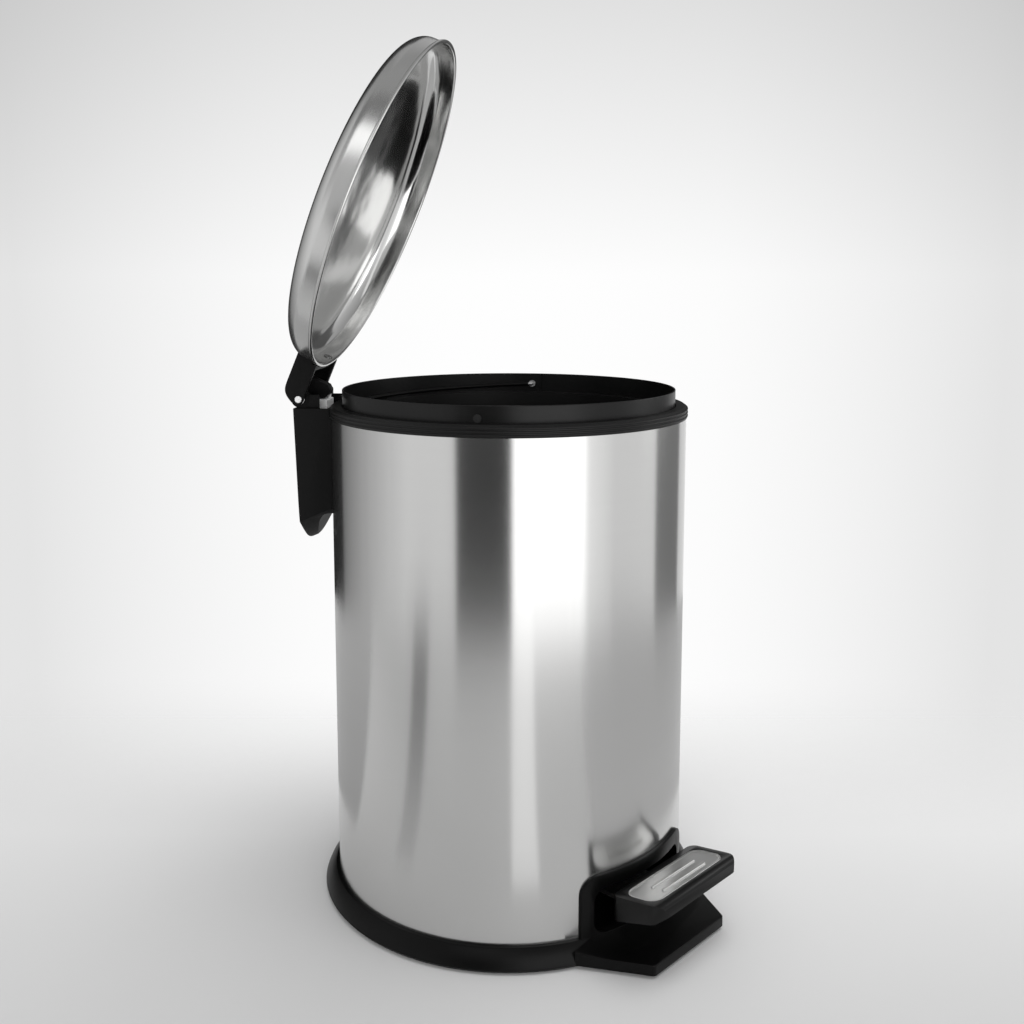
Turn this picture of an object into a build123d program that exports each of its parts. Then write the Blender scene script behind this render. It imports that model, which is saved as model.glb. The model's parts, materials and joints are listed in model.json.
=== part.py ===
"""Pedal trash can: a round steel bin with a removable bucket, a hinged lid and a foot pedal.

Millimetres, +Z up. The origin is the middle of the foot ring on the floor, and the pedal points
along -Y. The pieces stand as the lid stands open: the pedal is down and the push rod is up.
"""
import os
from math import cos, radians, sin, sqrt

from build123d import *

os.makedirs("parts", exist_ok=True)

# Driving dimensions: the steel shell, and the black ring and bucket at its top
SHELL_R = 125.0
SHELL_WALL = 0.8
SHELL_BOTTOM = 14.5
SHELL_TOP = 342.0
RING_TOP = 350.0
RING_R = 126.1
COLLAR_R = 117.3
COLLAR_TOP = 361.0
SHOULDER_Z = 345.2
BUCKET_WALL = 1.0
BUCKET_FLOOR = 62.0
BUCKET_MOUTH_R = 113.5
BUCKET_FLOOR_R = 104.0

# Driving dimensions: the foot ring, the hood round the pedal opening and the tongue
BASE_R = 135.0
BASE_FLOOR_Z = 4.0
BASE_FLOOR_TOP = 6.5
HOOD_R = 127.4
HOOD_WIDTH = 109.0
HOOD_TOP = 55.0
OPENING_WIDTH = 92.0
OPENING_BOTTOM = 15.0
OPENING_TOP = 46.0
TONGUE_FRONT_HALF = 39.0
TONGUE_ROOT_HALF = 64.5
TONGUE_FRONT = 162.4

# Driving dimensions: the hinge, which stands round to one side of the back
HINGE_BEARING = 142.3
PIN_R = 144.6
PIN_Z = 353.9
PIN_DIAMETER = 5.0
OPEN_ANGLE = 67.3
CHEEK_OUTER = 30.0
CHEEK_WALL = 3.4
EAR_OUTER = 26.0
EAR_WALL = 3.0
RUN = 0.05

# Driving dimensions: the lid
LID_R = 119.2
LID_WALL = 0.9
LID_GAP = 0.6
LID_SKIRT = 20.0
LID_RISE = 9.5
LID_CORNER = 12.0

# Driving dimensions: the push rod and the pedal
CAM_RADIUS = 10.0
CAM_OPEN_DROP = 1.9
ROD_DIAMETER = 5.0
ROD_INNER_R = 117.5
CONTACT_GAP = 0.3
AXLE_Y = -62.0
AXLE_Z = 24.0
AXLE_DIAMETER = 6.0
LEVER_BOTTOM = 28.0
LEVER_THICK = 3.0
TREAD_WIDTH = 90.0

# Driving dimensions: the wire handle of the bucket
BAIL_BEARING = -56.3
BAIL_Z = 353.0
BAIL_WIRE = 3.0
BAIL_R = 113.4
BAIL_HOLE = 4.4

# The hinge's own directions: outwards, and sideways along the pin
OUT = Vector(-sin(radians(HINGE_BEARING)), -cos(radians(HINGE_BEARING)), 0)
SIDE = Vector(OUT.Y, -OUT.X, 0)
UP = Vector(0, 0, 1)

# Planes that the hinge pieces are drawn on: x is the radius and y is the height
HINGE_SIDE = Plane(origin=(0, 0, 0), x_dir=OUT, z_dir=SIDE)
open_turn = radians(OPEN_ANGLE)
lid_forward = UP * sin(open_turn) - OUT * cos(open_turn)
pin_centre = OUT * PIN_R + UP * PIN_Z

# On the lid's side plane x runs from the pin to the lid's front, and y from the rim to the dome
LID_SIDE = Plane(origin=pin_centre, x_dir=lid_forward, z_dir=SIDE * -1)
LID_PROFILE = Plane(origin=pin_centre + lid_forward * PIN_R, x_dir=lid_forward, z_dir=SIDE * -1)
LID_AXIS = Axis(LID_PROFILE.origin, LID_PROFILE.y_dir)
LID_RIM = RING_TOP + LID_GAP - PIN_Z
PIN_LINE = Plane(origin=pin_centre, x_dir=UP, z_dir=SIDE)

ROD_R = PIN_R - CAM_RADIUS
CAP_TOP = PIN_Z - CAM_OPEN_DROP - CONTACT_GAP
rod_foot_place = OUT * ROD_INNER_R


def save(piece, name):
    """Label a finished piece and write it out."""
    piece.part.label = name
    export_step(piece.part, f"parts/{name}.step")


def hinge_plane(sideways):
    """The hinge's side plane, moved along the pin."""
    return HINGE_SIDE.offset(sideways)


def radial_plane(height, radius, sideways=0.0):
    """A plane that faces outwards at the hinge's bearing."""
    middle = OUT * radius + SIDE * sideways + UP * height
    return Plane(origin=middle, x_dir=SIDE * -1, z_dir=OUT)


# The shell is a rolled steel tube with a mouth for the pedal and a slot for the push rod
SLOT_WIDTH = 8.0
SLOT_BOTTOM = 292.0
SLOT_TOP = 326.0
SHELL_MOUTH_WIDTH = 96.0
SHELL_MOUTH_TOP = 47.0
SCREW_HOLE_R = 2.1
EAR_SCREW_SIDE = 14.0
EAR_SCREW_HEIGHTS = (318.0, 328.0)
BOSS_SIDE = 17.0
BOSS_Z = 297.0
with BuildPart() as outer_shell:
    with BuildSketch(Plane.XY.offset(SHELL_BOTTOM)):
        Circle(SHELL_R)
        Circle(SHELL_R - SHELL_WALL, mode=Mode.SUBTRACT)
    extrude(amount=SHELL_TOP - SHELL_BOTTOM)
    with BuildSketch(Plane.XZ):
        with Locations((0, SHELL_MOUTH_TOP / 2)):
            Rectangle(SHELL_MOUTH_WIDTH, SHELL_MOUTH_TOP)
    extrude(amount=SHELL_R + 5, mode=Mode.SUBTRACT)
    with BuildSketch(radial_plane((SLOT_BOTTOM + SLOT_TOP) / 2, SHELL_R - 5)):
        SlotOverall(SLOT_TOP - SLOT_BOTTOM, SLOT_WIDTH, rotation=90)
    extrude(amount=10, mode=Mode.SUBTRACT)
    for side in (1, -1):
        with BuildSketch(radial_plane(BOSS_Z, SHELL_R - 10, side * BOSS_SIDE)):
            Circle(SCREW_HOLE_R)
        extrude(amount=15, mode=Mode.SUBTRACT)
        for height in EAR_SCREW_HEIGHTS:
            with BuildSketch(radial_plane(height, SHELL_R - 10, side * EAR_SCREW_SIDE)):
                Circle(SCREW_HOLE_R)
            extrude(amount=15, mode=Mode.SUBTRACT)
save(outer_shell, "outer_shell")

# The hood is a curved frame round the pedal opening, with rounded corners
with BuildPart() as hood:
    with BuildSketch(Plane.XY.offset(BASE_FLOOR_TOP)):
        Circle(HOOD_R)
        Circle(SHELL_R + 0.15, mode=Mode.SUBTRACT)
    extrude(amount=HOOD_TOP + 10)
    with BuildSketch(Plane.XZ):
        with Locations((0, HOOD_TOP / 2 - 10)):
            RectangleRounded(HOOD_WIDTH, HOOD_TOP + 20, 13)
    extrude(amount=HOOD_R + 20, mode=Mode.INTERSECT)
    with BuildSketch(Plane.XZ):
        with Locations((0, (OPENING_BOTTOM + OPENING_TOP) / 2)):
            RectangleRounded(OPENING_WIDTH, OPENING_TOP - OPENING_BOTTOM, 9)
    extrude(amount=HOOD_R + 20, mode=Mode.SUBTRACT)

# The tongue lies on the floor under the pedal: it widens towards the foot ring, and its top rises in a
# hollow curve to the opening's sill
TONGUE_ROOT = 118.0
TONGUE_EDGE = 9.5
TONGUE_UNDER = 2.4
SILL_R = SHELL_R + 1.0
UNDERSIDE = 1.0
with BuildPart() as tongue:
    with BuildSketch(Plane.XZ):
        with BuildLine():
            level = Line((TONGUE_FRONT + 15, TONGUE_EDGE), (152.0, TONGUE_EDGE))
            rise = ThreePointArc(level @ 1, (137.5, 11.0), (SILL_R, OPENING_BOTTOM))
            Polyline(rise @ 1, (SHELL_R - 3, OPENING_BOTTOM), (SHELL_R - 3, TONGUE_UNDER),
                     (TONGUE_FRONT + 15, TONGUE_UNDER), level @ 0)
        make_face()
    revolve(axis=Axis.Z)
    with BuildSketch() as tongue_plan:
        with BuildLine():
            Polyline((-TONGUE_FRONT_HALF, -TONGUE_FRONT), (TONGUE_FRONT_HALF, -TONGUE_FRONT),
                     (TONGUE_ROOT_HALF, -TONGUE_ROOT), (-TONGUE_ROOT_HALF, -TONGUE_ROOT), close=True)
        make_face()
        fillet(tongue_plan.vertices().group_by(Axis.Y)[0], 3)
    extrude(amount=40, mode=Mode.INTERSECT)
    rim = tongue.faces().filter_by(Axis.Y).sort_by(Axis.Y)[0].edges().filter_by(Axis.X).sort_by(Axis.Z)[-1]
    fillet(rim, 0.8)

# The base is one moulding: a flared foot ring, a floor, a lip inside the shell, the hood, the tongue
# and two posts that carry the pedal's axle
LIP_R = SHELL_R - SHELL_WALL - 0.25
LIP_WALL = 2.5
LIP_TOP = 18.0
POST_X = 34.0
POST_WIDTH = 9.0
POST_LENGTH = 18.0
RIB_COUNT = 8
FOOT_OUTER_R = 130.5
FOOT_INNER_R = 125.0
FOOT_DEPTH = 1.6
with BuildPart() as base_tray:
    with BuildSketch(Plane.XZ):
        with BuildLine():
            flare = ThreePointArc((BASE_R, 3.0), (BASE_R - 3.0, 9.2), (HOOD_R, SHELL_BOTTOM - 0.2))
            Polyline(flare @ 0, (BASE_R - 1.5, UNDERSIDE), (122.0, UNDERSIDE), (120.0, BASE_FLOOR_Z),
                     (0, BASE_FLOOR_Z), (0, BASE_FLOOR_TOP), (LIP_R - LIP_WALL, BASE_FLOOR_TOP),
                     (LIP_R - LIP_WALL, LIP_TOP), (LIP_R, LIP_TOP), (LIP_R, SHELL_BOTTOM - 0.2), flare @ 1)
        make_face()
    revolve(axis=Axis.Z)
    with BuildSketch(Plane.XY.offset(UNDERSIDE + 1)):
        with PolarLocations(70, RIB_COUNT, start_angle=360 / RIB_COUNT / 2):
            Rectangle(104, 2.5)
    extrude(amount=BASE_FLOOR_Z - UNDERSIDE - 1)
    with BuildSketch(Plane.XZ):
        with Locations((0, (OPENING_BOTTOM + LIP_TOP) / 2 + 5)):
            Rectangle(OPENING_WIDTH, LIP_TOP - OPENING_BOTTOM + 10)
    extrude(amount=SHELL_R + 1, mode=Mode.SUBTRACT)
    add(hood.part)
    add(tongue.part)
    with BuildSketch(Plane.XY.offset(UNDERSIDE)):
        Circle(FOOT_OUTER_R + 0.05)
        Circle(FOOT_INNER_R - 0.05, mode=Mode.SUBTRACT)
    extrude(amount=FOOT_DEPTH + 0.05, mode=Mode.SUBTRACT)
    with BuildSketch(Plane.XY.offset(BASE_FLOOR_TOP)):
        with Locations((-POST_X, AXLE_Y), (POST_X, AXLE_Y)):
            Rectangle(POST_WIDTH, POST_LENGTH)
    extrude(amount=AXLE_Z - BASE_FLOOR_TOP)
    with BuildSketch(Plane.YZ.offset(-POST_X - POST_WIDTH / 2)):
        with Locations((AXLE_Y, AXLE_Z)):
            Circle(POST_LENGTH / 2)
    extrude(amount=POST_WIDTH)
    with BuildSketch(Plane.YZ.offset(POST_X - POST_WIDTH / 2)):
        with Locations((AXLE_Y, AXLE_Z)):
            Circle(POST_LENGTH / 2)
    extrude(amount=POST_WIDTH)
    with BuildSketch(Plane.YZ.offset(-POST_X - POST_WIDTH)):
        with Locations((AXLE_Y, AXLE_Z)):
            Circle(AXLE_DIAMETER / 2 + 0.02)
    extrude(amount=2 * POST_X + 2 * POST_WIDTH, mode=Mode.SUBTRACT)
save(base_tray, "base_tray")

# A rubber ring sits in a groove under the base
with BuildPart() as foot_ring:
    with BuildSketch():
        Circle(FOOT_OUTER_R)
        Circle(FOOT_INNER_R, mode=Mode.SUBTRACT)
    extrude(amount=UNDERSIDE + FOOT_DEPTH)
save(foot_ring, "foot_ring")

# The top ring is a black moulding on the shell's edge: three fine ridges outside, and a ledge inside
# for the bucket
RIDGE_COUNT = 3
RIDGE_R = 0.9
LEDGE_R = 114.6
ring_skirt_r = SHELL_R - SHELL_WALL - 0.25
with BuildPart() as top_ring:
    with BuildSketch(Plane.XZ):
        with BuildLine():
            Polyline((ring_skirt_r - 2, SHELL_TOP - 9), (ring_skirt_r, SHELL_TOP - 9),
                     (ring_skirt_r, SHELL_TOP + 0.1), (RING_R - 0.5, SHELL_TOP + 0.1),
                     (RING_R - 0.5, RING_TOP - 1.6), (RING_R - 2.2, RING_TOP), (COLLAR_R + 0.6, RING_TOP),
                     (COLLAR_R + 0.6, SHOULDER_Z - 0.2), (LEDGE_R, SHOULDER_Z - 0.2),
                     (LEDGE_R, SHELL_TOP), (ring_skirt_r - 2, SHELL_TOP), close=True)
        make_face()
        with GridLocations(1, 2.3, 1, RIDGE_COUNT):
            with Locations((RING_R - 0.9, SHELL_TOP + 3.7)):
                Circle(RIDGE_R)
    revolve(axis=Axis.Z)
save(top_ring, "top_ring")

# Two flat bosses stand inside the bucket's collar, where the handle's ends turn
bail_x = Vector(sin(radians(BAIL_BEARING)), -cos(radians(BAIL_BEARING)), 0)
BOSS_WIDTH = 14.0
BOSS_THICK = 0.7
collar_inner = COLLAR_R - BUCKET_WALL
with BuildPart() as bail_bosses:
    with BuildSketch(Plane.XY.offset(SHOULDER_Z + 0.5)):
        Circle(collar_inner + 0.3)
        Circle(collar_inner - BOSS_THICK, mode=Mode.SUBTRACT)
    extrude(amount=COLLAR_TOP - SHOULDER_Z - 1.5)
    with BuildSketch(Plane(origin=(0, 0, SHOULDER_Z), x_dir=bail_x)):
        Rectangle(2 * COLLAR_R, BOSS_WIDTH)
    extrude(amount=COLLAR_TOP - SHOULDER_Z, mode=Mode.INTERSECT)

# The bucket is a black moulding: tapered, with a shoulder that sits on the ring and an upright collar
with BuildPart() as inner_bucket:
    with BuildSketch(Plane.XZ) as bucket_wall:
        with BuildLine():
            Polyline((0, BUCKET_FLOOR), (BUCKET_FLOOR_R, BUCKET_FLOOR), (BUCKET_MOUTH_R, SHOULDER_Z),
                     (COLLAR_R, SHOULDER_Z), (COLLAR_R, COLLAR_TOP), (collar_inner, COLLAR_TOP),
                     (collar_inner, SHOULDER_Z + BUCKET_WALL),
                     (BUCKET_MOUTH_R - BUCKET_WALL, SHOULDER_Z + BUCKET_WALL),
                     (BUCKET_FLOOR_R - BUCKET_WALL, BUCKET_FLOOR + BUCKET_WALL),
                     (0, BUCKET_FLOOR + BUCKET_WALL), close=True)
        make_face()
        floor_corner = bucket_wall.vertices().filter_by_position(
            Axis.X, BUCKET_FLOOR_R - 2, BUCKET_FLOOR_R + 1)
        fillet(floor_corner.sort_by(Axis.X)[-1], 7)
        fillet(floor_corner.sort_by(Axis.X)[0], 6)
        fillet(bucket_wall.vertices().group_by(Axis.Y)[-1], 0.4)
    revolve(axis=Axis.Z)
    add(bail_bosses.part)
    with BuildSketch(Plane(origin=UP * BAIL_Z - bail_x * 150, x_dir=UP, z_dir=bail_x)):
        Circle(BAIL_HOLE / 2)
    extrude(amount=300, mode=Mode.SUBTRACT)
save(inner_bucket, "inner_bucket")

# The bail is one bent wire: its ends poke out through the collar's holes, with a pressed button inside and
# outside each hole, and the wire lies on the shoulder
BAIL_BEND = 2.0
BAIL_END = COLLAR_R + 0.7
BUTTON_R = 2.65
BUTTONS = {collar_inner - BOSS_THICK - 1.3: 1.0, COLLAR_R + 0.3: 0.4}
bail_lie_z = SHOULDER_Z + BUCKET_WALL + BAIL_WIRE / 2 + 0.3
bail_drop = (BAIL_Z - bail_lie_z) / BAIL_R
bail_away = Vector(bail_x.Y, -bail_x.X, 0)
bail_y = bail_away * sqrt(1 - bail_drop**2) - UP * bail_drop
BAIL_PLANE = Plane(origin=UP * BAIL_Z, x_dir=bail_x, z_dir=bail_x.cross(bail_y))
bend_x = sqrt((BAIL_R + BAIL_BEND) ** 2 - BAIL_BEND**2)
bend_share = BAIL_R / (BAIL_R + BAIL_BEND)
half_bend = radians(-135) + BAIL_BEND / (BAIL_R + BAIL_BEND) / 2
elbow_x = BAIL_BEND * cos(half_bend)
elbow_y = BAIL_BEND + BAIL_BEND * sin(half_bend)
with BuildPart() as bucket_bail:
    with BuildLine(BAIL_PLANE) as bail_line:
        Line((BAIL_END, 0), (bend_x, 0))
        bend = ThreePointArc((bend_x, 0), (bend_x + elbow_x, elbow_y),
                             (bend_x * bend_share, BAIL_BEND * bend_share))
        hoop = ThreePointArc(bend @ 1, (0, BAIL_R), (-bend_x * bend_share, BAIL_BEND * bend_share))
        ThreePointArc(hoop @ 1, (-bend_x - elbow_x, elbow_y), (-bend_x, 0))
        Line((-bend_x, 0), (-BAIL_END, 0))
    with BuildSketch(Plane(origin=UP * BAIL_Z + bail_x * BAIL_END, z_dir=bail_x * -1)):
        Circle(BAIL_WIRE / 2)
    sweep(path=bail_line.line)
    for side in (1, -1):
        for radius, thick in BUTTONS.items():
            with BuildSketch(Plane(origin=UP * BAIL_Z + bail_x * side * radius, z_dir=bail_x * side)):
                Circle(BUTTON_R)
            extrude(amount=thick)
save(bucket_bail, "bucket_bail")

# The housing is a deep black moulding behind the shell: a straight back, two flat sides, and a tail that
# ends in a pointed round and stands off the wall
HOUSING_HALF = 29.2
HOUSING_WALL = 2.4
HOUSING_TOP = 347.5
TAIL_TIP = (143.4, 250.6)
TAIL_SIDE_Z = 268.0
TAIL_TILT = 0.42
BACK_TOP_R = 148.6
BACK_LOW = (146.8, 292.0)
CAVITY_BOTTOM = 284.5
HOUSING_SEAT_R = SHELL_R + 0.15
OUTLINE_R = 160.0
outline_drop = TAIL_TILT * (OUTLINE_R - TAIL_TIP[0])
with BuildPart() as hinge_housing:
    with BuildSketch(HINGE_SIDE):
        with BuildLine():
            back = Line((BACK_TOP_R, HOUSING_TOP), BACK_LOW)
            belly = Spline(back @ 1, (145.9, 270.0), (145.2, 255.6), TAIL_TIP,
                           tangents=(back % 1, (-1, -0.1)))
            chin = Spline(belly @ 1, (137.6, 255.8), (132.4, 267.6), (129.4, 271.4), (120.0, 272.6),
                          tangents=((-1, 0.1), (-1, 0)))
            Polyline(chin @ 1, (110.0, 272.6), (110.0, HOUSING_TOP), back @ 0)
        make_face()
    extrude(amount=HOUSING_HALF, both=True)
    with BuildSketch(radial_plane(-outline_drop, OUTLINE_R)):
        with BuildLine():
            shield = Spline((-HOUSING_HALF, TAIL_SIDE_Z), (-15.0, 256.4), (0, TAIL_TIP[1]), (15.0, 256.4),
                            (HOUSING_HALF, TAIL_SIDE_Z))
            Polyline(shield @ 1, (HOUSING_HALF, HOUSING_TOP + 40), (-HOUSING_HALF, HOUSING_TOP + 40),
                     shield @ 0)
        make_face()
    extrude(amount=70, dir=UP * TAIL_TILT - OUT, mode=Mode.INTERSECT)
    with BuildSketch(HINGE_SIDE):
        with BuildLine():
            Polyline((100.0, CAVITY_BOTTOM), (142.0, CAVITY_BOTTOM), (BACK_LOW[0] - HOUSING_WALL, 294.0),
                     (BACK_TOP_R - HOUSING_WALL, HOUSING_TOP + 1), (100.0, HOUSING_TOP + 1), close=True)
        make_face()
    extrude(amount=HOUSING_HALF - HOUSING_WALL, both=True, mode=Mode.SUBTRACT)
    for side in (1, -1):
        with BuildSketch(radial_plane(BOSS_Z, HOUSING_SEAT_R - 5, side * BOSS_SIDE)):
            Circle(5)
        extrude(amount=BACK_LOW[0] - HOUSING_SEAT_R + 3)
        with BuildSketch(radial_plane(BOSS_Z, HOUSING_SEAT_R - 10, side * BOSS_SIDE)):
            Circle(SCREW_HOLE_R)
        extrude(amount=26, mode=Mode.SUBTRACT)
    with BuildSketch(Plane.XY.offset(240)):
        Circle(HOUSING_SEAT_R)
    extrude(amount=SHELL_TOP - 240 - 0.5, mode=Mode.SUBTRACT)
    with BuildSketch(Plane.XY.offset(SHELL_TOP - 0.5)):
        Circle(RING_R + 0.3)
    extrude(amount=20, mode=Mode.SUBTRACT)
save(hinge_housing, "hinge_housing")

# The ears are one black pressing: two lugs for the pin on legs that stand inside the housing, a plate on
# the shell, and a bar from the far lug over the ring
EAR_LUG_R = 6.2
EAR_TOP = PIN_Z + 8.4
EAR_FRONTS = {1: 133.6, -1: 139.6}
EAR_BACK = 144.2
EAR_FOOT = 312.0
PLATE_R = SHELL_R + 0.3
PLATE_WALL = 1.5
PLATE_TOP = SHELL_TOP - 2.0
BAR_BOTTOM = RING_TOP + 0.3
BAR_TOP = 352.7
BAR_INNER_R = 121.5
BAR_LENGTH = 20.0
with BuildPart() as hinge_ears:
    for side, front in EAR_FRONTS.items():
        with BuildSketch(hinge_plane(side * EAR_OUTER)):
            with BuildLine():
                Polyline((PLATE_R - 3, EAR_FOOT), (PLATE_R - 3, PLATE_TOP - 6), (front, PLATE_TOP),
                         (front, PIN_Z + 3.0), (front + 4.5, EAR_TOP), (PIN_R, EAR_TOP), (EAR_BACK, PIN_Z),
                         (EAR_BACK, EAR_FOOT + 16), (PLATE_R + 8, EAR_FOOT), close=True)
            make_face()
            with Locations((PIN_R, PIN_Z)):
                Circle(EAR_LUG_R)
                Circle(PIN_DIAMETER / 2 + 0.02, mode=Mode.SUBTRACT)
        extrude(amount=-side * EAR_WALL)
    with BuildSketch(HINGE_SIDE):
        with Locations((PLATE_R + PLATE_WALL / 2 - 2, (EAR_FOOT + PLATE_TOP) / 2)):
            Rectangle(PLATE_WALL + 4, PLATE_TOP - EAR_FOOT)
    extrude(amount=EAR_OUTER - 0.5, both=True)
    with BuildSketch(hinge_plane(EAR_OUTER)):
        with BuildLine():
            Polyline((110.0, BAR_BOTTOM), (110.0, BAR_TOP), (EAR_FRONTS[1] + 2, BAR_TOP),
                     (EAR_FRONTS[1] + 2, BAR_BOTTOM), close=True)
        make_face()
    extrude(amount=-EAR_WALL)
    with BuildSketch(hinge_plane(EAR_OUTER)):
        with Locations((118.0, (BAR_BOTTOM + BAR_TOP) / 2)):
            Rectangle(14.0, BAR_TOP - BAR_BOTTOM)
    extrude(amount=-BAR_LENGTH)
    with BuildSketch(radial_plane(SLOT_TOP - 12, SHELL_R)):
        SlotOverall(40, 12, rotation=90)
        with GridLocations(2 * EAR_SCREW_SIDE, 1, 2, 1):
            for height in EAR_SCREW_HEIGHTS:
                with Locations((0, height - SLOT_TOP + 12)):
                    Circle(SCREW_HOLE_R)
    extrude(amount=12, both=True, mode=Mode.SUBTRACT)
    with BuildSketch(Plane.XY.offset(BAR_BOTTOM - 1)):
        Circle(BAR_INNER_R)
    extrude(amount=20, mode=Mode.SUBTRACT)
    with BuildSketch(Plane.XY.offset(EAR_FOOT - 10)):
        Circle(PLATE_R)
    extrude(amount=SHELL_TOP - EAR_FOOT + 10, mode=Mode.SUBTRACT)
save(hinge_ears, "hinge_ears")

# The hinge pin is a plain steel rod with rounded ends, and a thin washer parts each cheek from its ear
PIN_HALF = CHEEK_OUTER + 0.5
with BuildPart() as hinge_pin:
    with BuildSketch(PIN_LINE.offset(-PIN_HALF)):
        Circle(PIN_DIAMETER / 2)
    extrude(amount=2 * PIN_HALF)
    fillet(hinge_pin.edges().filter_by(GeomType.CIRCLE), 0.9)
save(hinge_pin, "hinge_pin")

cheek_inner = CHEEK_OUTER - CHEEK_WALL
with BuildPart() as hinge_washers:
    for side in (1, -1):
        with BuildSketch(PIN_LINE.offset(side * (EAR_OUTER + 0.1))):
            Circle(3.6)
            Circle(PIN_DIAMETER / 2 + 0.05, mode=Mode.SUBTRACT)
        extrude(amount=side * (cheek_inner - EAR_OUTER - 0.2))
save(hinge_washers, "hinge_washers")


def screw(plane, head_radius, head_height, shank_radius, shank_length):
    """A pan-head screw whose head seats on the plane and whose shank runs along its normal."""
    with BuildSketch(plane) as shank:
        Circle(shank_radius)
    extrude(shank.sketch, amount=shank_length)
    with BuildSketch(plane) as head:
        Circle(head_radius)
    extrude(head.sketch, amount=-head_height, taper=20)


# Four screws hold the ears to the shell, and two hold the housing from inside the shell
with BuildPart() as ear_screws:
    for height in EAR_SCREW_HEIGHTS:
        for side in (1, -1):
            seat = radial_plane(height, PLATE_R + PLATE_WALL + 0.1, side * EAR_SCREW_SIDE)
            screw(Plane(origin=seat.origin, x_dir=SIDE, z_dir=OUT * -1), 3.6, 2.0, 2.0, 7.0)
save(ear_screws, "ear_screws")

with BuildPart() as housing_screws:
    for side in (1, -1):
        screw(radial_plane(BOSS_Z, SHELL_R - SHELL_WALL - 2.0, side * BOSS_SIDE), 3.6, 1.8, 2.0, 14.0)
save(housing_screws, "housing_screws")


def lid_section(radius, skirt_top, dome_top, corner):
    """Half the lid's section, from its axis to its skirt, on the lid's profile plane."""
    with BuildSketch(LID_PROFILE) as section:
        with BuildLine():
            skirt = Line((radius, LID_RIM), (radius, skirt_top))
            rise = dome_top - skirt_top
            sphere = (radius**2 + rise**2) / (2 * rise)
            halfway = dome_top - sphere + sqrt(sphere**2 - radius**2 / 4)
            ThreePointArc(skirt @ 1, (radius / 2, halfway), (0, dome_top))
            Polyline((0, dome_top), (0, LID_RIM), skirt @ 0)
        make_face()
        shoulder = section.vertices().sort_by(Axis.X)[-2:].sort_by(Axis.Y)[-1]
        fillet(shoulder, corner)
    return section.sketch


# The lid is drawn from one steel sheet: a skirt, a round shoulder and a shallow dome, with a rolled edge
HEM_R = 1.2
SKIRT_TOP = LID_RIM + LID_SKIRT
DOME_TOP = SKIRT_TOP + LID_RISE
LID_SCREW_ANGLE = 9.5
LID_SCREW_RISE = 1.9
LID_SCREW_HOLE_R = 1.7


def lid_radial_plane(angle, radius, rise):
    """A plane that faces outwards from the lid's axis, near the hinge."""
    turn = radians(angle)
    outward = lid_forward * -cos(turn) + SIDE * sin(turn)
    middle = LID_PROFILE.origin + LID_PROFILE.y_dir * rise + outward * radius
    return Plane(origin=middle, x_dir=LID_PROFILE.y_dir, z_dir=outward)


with BuildPart() as lid_shell:
    revolve(lid_section(LID_R, SKIRT_TOP, DOME_TOP, LID_CORNER), axis=LID_AXIS)
    lid_inside = lid_section(
        LID_R - LID_WALL, SKIRT_TOP - LID_WALL, DOME_TOP - LID_WALL, LID_CORNER - LID_WALL)
    revolve(lid_inside, axis=LID_AXIS, mode=Mode.SUBTRACT)
    with BuildSketch(LID_PROFILE):
        with Locations((LID_R + HEM_R - 0.5, LID_RIM + HEM_R - 0.2)):
            Circle(HEM_R)
    revolve(axis=LID_AXIS)
    for side in (1, -1):
        with BuildSketch(lid_radial_plane(side * LID_SCREW_ANGLE, LID_R - 10, LID_SCREW_RISE)):
            Circle(LID_SCREW_HOLE_R)
        extrude(amount=15, mode=Mode.SUBTRACT)
save(lid_shell, "lid_shell")

# The form that the bracket is cut back from, so that it seats on the lid's skirt
with BuildPart() as lid_seat:
    revolve(lid_section(LID_R + 0.05, SKIRT_TOP, DOME_TOP, LID_CORNER), axis=LID_AXIS)
    with BuildSketch(LID_PROFILE):
        with Locations(((LID_R + 2 * HEM_R) / 2, LID_RIM + HEM_R)):
            Rectangle(LID_R + 2 * HEM_R, 2 * HEM_R + 1.0)
    revolve(axis=LID_AXIS)

# The lid's bracket is a black cover with two cheeks, open below, and a cam finger in its middle.
# The finger's foot is an involute of CAM_RADIUS round the pin, so that the rod lifts the lid evenly.
CHEEK_LOW = LID_RIM + 0.1
CHEEK_HIGH = 12.0
COVER_WALL = 3.0
SEAT_FRONT = 21.0
SEAT_LOW = -0.6
FINGER_HALF = 5.0
CAM_STEPS = 6


def cam_point(turn):
    """The foot's contact point when the lid has turned up by this angle, on the lid's side plane."""
    drop = CAM_OPEN_DROP + CAM_RADIUS * (open_turn - turn)
    return (CAM_RADIUS * cos(turn) - drop * sin(turn), -drop * cos(turn) - CAM_RADIUS * sin(turn))


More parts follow.
